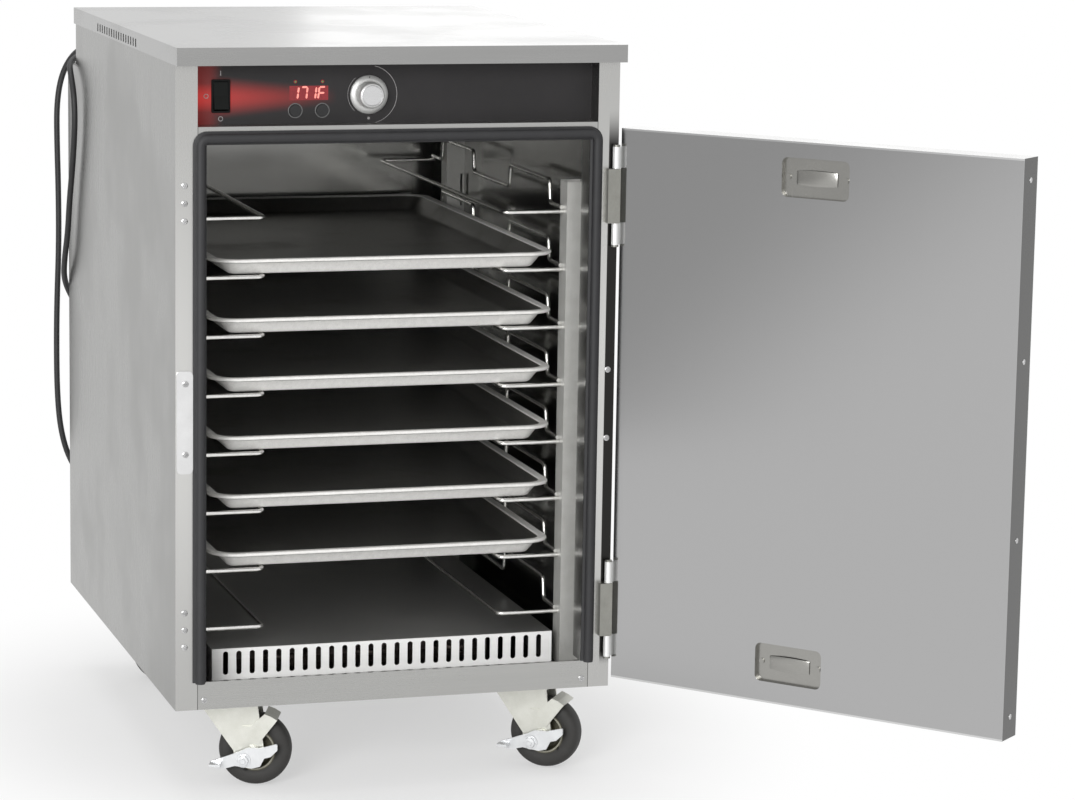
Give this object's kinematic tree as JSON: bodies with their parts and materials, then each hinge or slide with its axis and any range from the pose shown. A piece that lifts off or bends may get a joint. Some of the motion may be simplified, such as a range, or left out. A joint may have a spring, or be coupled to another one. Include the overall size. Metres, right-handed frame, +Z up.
{
  "type": "heated holding cabinet",
  "caption": "Insulated heated holding cabinet on swivel castors, with a hinged vented door, control panel, wire tray slides, removable sheet pans, a base heating element and a power cord.",
  "frame": {"origin": "on the floor under the middle of the cabinet's body", "axes": "+Z up, the door's side towards -Y, the hinge side towards +X"},
  "size_m": [1.0094, 1.2414, 0.966],
  "materials": {
    "outer_skin": "satin sheet",
    "liner": "bright mill sheet",
    "insulation": "fibre blanket",
    "seal": "matt",
    "panel_black": "satin black",
    "bright_wire": "plated wire",
    "pan_metal": "used sheet pan",
    "zinc": "zinc plated",
    "screw_steel": "plain",
    "element_steel": "oxidised sheath",
    "black_plastic": "moulded",
    "rocker_plastic": "moulded",
    "display_plastic": "dark window",
    "board_plastic": "circuit board",
    "wheel_rubber": "soft tread",
    "cord_rubber": "matt jacket",
    "magnet": "ferrite"
  },
  "bodies": {
    "cabinet": {"side_panel_left": "outer_skin", "side_panel_right": "outer_skin", "rear_panel": "outer_skin", "bottom_panel": "outer_skin", "bottom_rail": "outer_skin", "base_channels": "zinc", "header_rail": "outer_skin", "throat_trim": "liner", "module_deck": "outer_skin", "top_cover": "outer_skin", "control_fascia": "panel_black", "cavity_liner": "liner", "wall_insulation": "insulation", "door_gasket": "seal", "strike_plate": "zinc", "frame_screws": "screw_steel", "hinge_post_leaves": "zinc", "slide_uprights": "liner", "tray_slides_left": "bright_wire", "tray_slides_right": "bright_wire", "heat_cover": "liner", "heating_element": "element_steel", "temperature_probe": "bright_wire", "control_board": "board_plastic", "display_module": "display_plastic", "rocker_bezel": "black_plastic", "caster_mounts": "zinc", "cord_gland": "black_plastic", "power_cord": "cord_rubber", "power_plug": "cord_rubber"},
    "door": {"door_outer_pan": "outer_skin", "door_inner_panel": "outer_skin", "door_insulation": "insulation", "latch_magnet": "magnet", "vent_plates": "liner", "door_screws": "screw_steel", "door_handle": "zinc", "hinge_door_leaves": "zinc"},
    "damper_upper": {"vent_damper_upper": "liner"},
    "damper_lower": {"vent_damper_lower": "liner"},
    "rocker": {"rocker_switch": "rocker_plastic"},
    "knob": {"control_knob": "black_plastic"},
    "button_left": {"button_left": "rocker_plastic"},
    "button_right": {"button_right": "rocker_plastic"},
    "pan_1": {"sheet_pan_1": "pan_metal"},
    "pan_2": {"sheet_pan_2": "pan_metal"},
    "pan_3": {"sheet_pan_3": "pan_metal"},
    "pan_4": {"sheet_pan_4": "pan_metal"},
    "pan_5": {"sheet_pan_5": "pan_metal"},
    "pan_6": {"sheet_pan_6": "pan_metal"},
    "caster_front_left": {"caster_fork_front_left": "zinc"},
    "wheel_front_left": {"caster_wheel_front_left": "wheel_rubber"},
    "brake_front_left": {"brake_lever_front_left": "zinc"},
    "caster_front_right": {"caster_fork_front_right": "zinc"},
    "wheel_front_right": {"caster_wheel_front_right": "wheel_rubber"},
    "brake_front_right": {"brake_lever_front_right": "zinc"},
    "caster_rear_left": {"caster_fork_rear_left": "zinc"},
    "wheel_rear_left": {"caster_wheel_rear_left": "wheel_rubber"},
    "caster_rear_right": {"caster_fork_rear_right": "zinc"},
    "wheel_rear_right": {"caster_wheel_rear_right": "wheel_rubber"}
  },
  "joints": [
    {"name": "door_hinge", "type": "hinge", "parent": "cabinet", "child": "door", "pos_m": [0.2843, -0.3891, 0.499], "axis": [0, 0, 1], "range_deg": [-131, 14]},
    {"name": "damper_turn_upper", "type": "hinge", "parent": "door", "child": "damper_upper", "pos_m": [0.47947, -0.59548, 0.8125], "axis": [-0.7547, -0.6561, 0], "range_deg": [-30, 30]},
    {"name": "damper_turn_lower", "type": "hinge", "parent": "door", "child": "damper_lower", "pos_m": [0.46668, -0.58076, 0.187], "axis": [-0.7547, -0.6561, 0], "range_deg": [-30, 30]},
    {"name": "rocker_tilt", "type": "hinge", "parent": "cabinet", "child": "rocker", "pos_m": [-0.2256, -0.353, 0.9015], "axis": [1, 0, 0], "range_deg": [0, 18]},
    {"name": "knob_turn", "type": "hinge", "parent": "cabinet", "child": "knob", "pos_m": [-0.0348, -0.363, 0.9015], "axis": [0, -1, 0], "continuous": true},
    {"name": "button_press_left", "type": "slide", "parent": "cabinet", "child": "button_left", "axis": [0, 1, 0], "range_m": [0, 0.0006], "stiffness_N_per_m": 300},
    {"name": "button_press_right", "type": "slide", "parent": "cabinet", "child": "button_right", "axis": [0, 1, 0], "range_m": [0, 0.0006], "stiffness_N_per_m": 300},
    {"name": "pan_slide_1", "type": "slide", "parent": "cabinet", "child": "pan_1", "axis": [0, -1, 0], "range_m": [0, 0.6]},
    {"name": "pan_slide_2", "type": "slide", "parent": "cabinet", "child": "pan_2", "axis": [0, -1, 0], "range_m": [0, 0.6]},
    {"name": "pan_slide_3", "type": "slide", "parent": "cabinet", "child": "pan_3", "axis": [0, -1, 0], "range_m": [0, 0.6]},
    {"name": "pan_slide_4", "type": "slide", "parent": "cabinet", "child": "pan_4", "axis": [0, -1, 0], "range_m": [0, 0.6]},
    {"name": "pan_slide_5", "type": "slide", "parent": "cabinet", "child": "pan_5", "axis": [0, -1, 0], "range_m": [0, 0.6]},
    {"name": "pan_slide_6", "type": "slide", "parent": "cabinet", "child": "pan_6", "axis": [0, -1, 0], "range_m": [0, 0.6]},
    {"name": "swivel_front_left", "type": "hinge", "parent": "cabinet", "child": "caster_front_left", "pos_m": [-0.199, -0.297, 0.108], "axis": [0, 0, 1], "continuous": true},
    {"name": "roll_front_left", "type": "hinge", "parent": "caster_front_left", "child": "wheel_front_left", "pos_m": [-0.16799, -0.30829, 0.0476], "axis": [0.342, 0.9397, 0], "continuous": true},
    {"name": "brake_tilt_front_left", "type": "hinge", "parent": "caster_front_left", "child": "brake_front_left", "pos_m": [-0.17974, -0.30401, 0.0376], "axis": [0.342, 0.9397, 0], "range_deg": [0, 18]},
    {"name": "swivel_front_right", "type": "hinge", "parent": "cabinet", "child": "caster_front_right", "pos_m": [0.199, -0.297, 0.108], "axis": [0, 0, 1], "continuous": true},
    {"name": "roll_front_right", "type": "hinge", "parent": "caster_front_right", "child": "wheel_front_right", "pos_m": [0.22603, -0.31593, 0.0476], "axis": [0.5736, 0.8192, 0], "continuous": true},
    {"name": "brake_tilt_front_right", "type": "hinge", "parent": "caster_front_right", "child": "brake_front_right", "pos_m": [0.21579, -0.30876, 0.0376], "axis": [0.5736, 0.8192, 0], "range_deg": [0, 18]},
    {"name": "swivel_rear_left", "type": "hinge", "parent": "cabinet", "child": "caster_rear_left", "pos_m": [-0.199, 0.297, 0.108], "axis": [0, 0, 1], "continuous": true},
    {"name": "roll_rear_left", "type": "hinge", "parent": "caster_rear_left", "child": "wheel_rear_left", "pos_m": [-0.1825, 0.26842, 0.0476], "axis": [0.866, 0.5, 0], "continuous": true},
    {"name": "swivel_rear_right", "type": "hinge", "parent": "cabinet", "child": "caster_rear_right", "pos_m": [0.199, 0.297, 0.108], "axis": [0, 0, 1], "continuous": true},
    {"name": "roll_rear_right", "type": "hinge", "parent": "caster_rear_right", "child": "wheel_rear_right", "pos_m": [0.22814, 0.28151, 0.0476], "axis": [0.4695, 0.8829, 0], "continuous": true}
  ]
}
